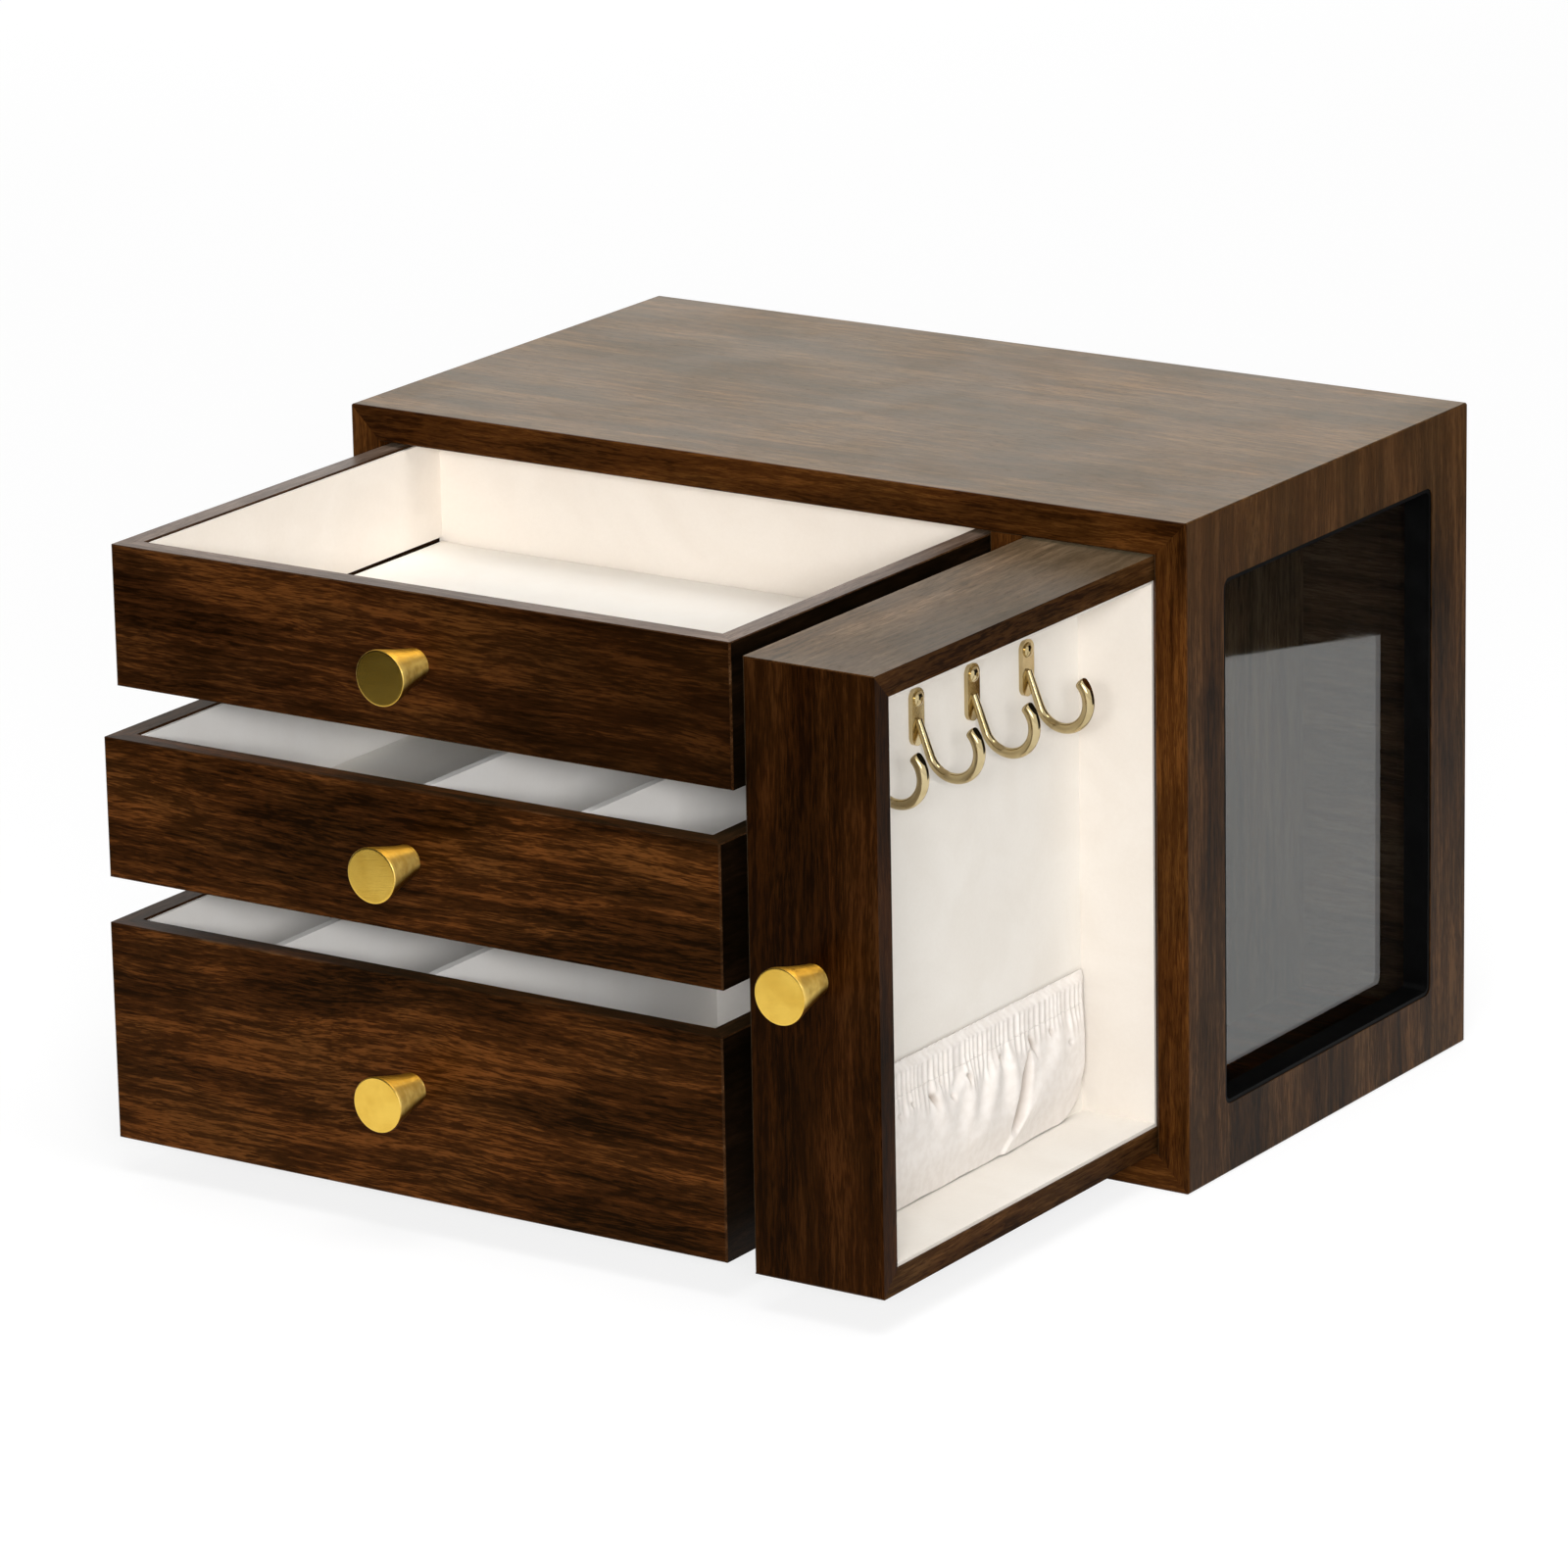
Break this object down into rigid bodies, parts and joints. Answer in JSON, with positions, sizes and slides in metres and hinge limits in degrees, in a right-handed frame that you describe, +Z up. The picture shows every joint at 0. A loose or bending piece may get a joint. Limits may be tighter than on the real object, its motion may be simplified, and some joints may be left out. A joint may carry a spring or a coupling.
{
  "type": "jewelry box",
  "caption": "Dark wood jewelry box with lined pull-out drawers, a slide-out necklace tray with hooks and a gathered pocket, and a glazed window in one side.",
  "frame": {"origin": "middle of the case's underside", "axes": "+X to the right seen from the front, +Y to the back, +Z up; the drawers slide out along -Y"},
  "size_m": [0.28, 0.311, 0.192],
  "materials": {
    "walnut_veneer": "dark satin lacquer over open-grained veneer",
    "edging_veneer": "satin lacquer over reddish veneer strips",
    "stained_board": "thin stained board",
    "velvet": "short cream pile over card",
    "pocket_cloth": "soft gathered cream cloth",
    "elastic_band": "cloth ruffled over elastic",
    "knob_brass": "turned and polished",
    "hook_metal": "pale bright plating",
    "screw_steel": "plain machine screws",
    "pane_glass": "clear polished sheet",
    "frame_plastic": "black strip round the window"
  },
  "bodies": {
    "case": {"case_back": "stained_board", "case_bottom": "walnut_veneer", "case_left_side": "walnut_veneer", "case_right_side": "walnut_veneer", "case_top": "walnut_veneer", "centre_divider": "walnut_veneer", "divider_edging": "edging_veneer", "front_edging": "edging_veneer", "lower_shelf": "walnut_veneer", "shelf_edging": "edging_veneer", "upper_shelf": "walnut_veneer", "window_frame": "frame_plastic", "window_pane": "pane_glass"},
    "top_drawer": {"top_drawer_back": "walnut_veneer", "top_drawer_base": "stained_board", "top_drawer_floor_pad": "velvet", "top_drawer_front": "walnut_veneer", "top_drawer_knob": "knob_brass", "top_drawer_knob_screw": "screw_steel", "top_drawer_left_side": "walnut_veneer", "top_drawer_lining": "velvet", "top_drawer_right_side": "walnut_veneer"},
    "middle_drawer": {"middle_drawer_back": "walnut_veneer", "middle_drawer_base": "stained_board", "middle_drawer_floor_pad": "velvet", "middle_drawer_front": "walnut_veneer", "middle_drawer_knob": "knob_brass", "middle_drawer_knob_screw": "screw_steel", "middle_drawer_left_side": "walnut_veneer", "middle_drawer_lining": "velvet", "middle_drawer_partitions": "velvet", "middle_drawer_right_side": "walnut_veneer"},
    "bottom_drawer": {"bottom_drawer_back": "walnut_veneer", "bottom_drawer_base": "stained_board", "bottom_drawer_floor_pad": "velvet", "bottom_drawer_front": "walnut_veneer", "bottom_drawer_knob": "knob_brass", "bottom_drawer_knob_screw": "screw_steel", "bottom_drawer_left_side": "walnut_veneer", "bottom_drawer_lining": "velvet", "bottom_drawer_partitions": "velvet", "bottom_drawer_right_side": "walnut_veneer"},
    "necklace_tray": {"necklace_hook_1": "hook_metal", "necklace_hook_2": "hook_metal", "necklace_hook_3": "hook_metal", "necklace_hook_4": "hook_metal", "necklace_hook_screws": "screw_steel", "necklace_pocket_band": "elastic_band", "necklace_pocket_cloth": "pocket_cloth", "necklace_tray_back_lining": "velvet", "necklace_tray_bottom": "walnut_veneer", "necklace_tray_front": "walnut_veneer", "necklace_tray_hook_board": "stained_board", "necklace_tray_knob": "knob_brass", "necklace_tray_knob_screw": "screw_steel", "necklace_tray_outer_side": "stained_board", "necklace_tray_rear": "walnut_veneer", "necklace_tray_top": "walnut_veneer", "necklace_tray_wall_lining": "velvet"}
  },
  "joints": [
    {"name": "top_drawer_slide", "type": "slide", "parent": "case", "child": "top_drawer", "axis": [0, -1, 0], "range_m": [-0.127, 0.015]},
    {"name": "middle_drawer_slide", "type": "slide", "parent": "case", "child": "middle_drawer", "axis": [0, -1, 0], "range_m": [-0.1338, 0.0082]},
    {"name": "bottom_drawer_slide", "type": "slide", "parent": "case", "child": "bottom_drawer", "axis": [0, -1, 0], "range_m": [-0.1346, 0.0074]},
    {"name": "necklace_tray_slide", "type": "slide", "parent": "case", "child": "necklace_tray", "axis": [0, -1, 0], "range_m": [-0.138, 0.004]}
  ]
}
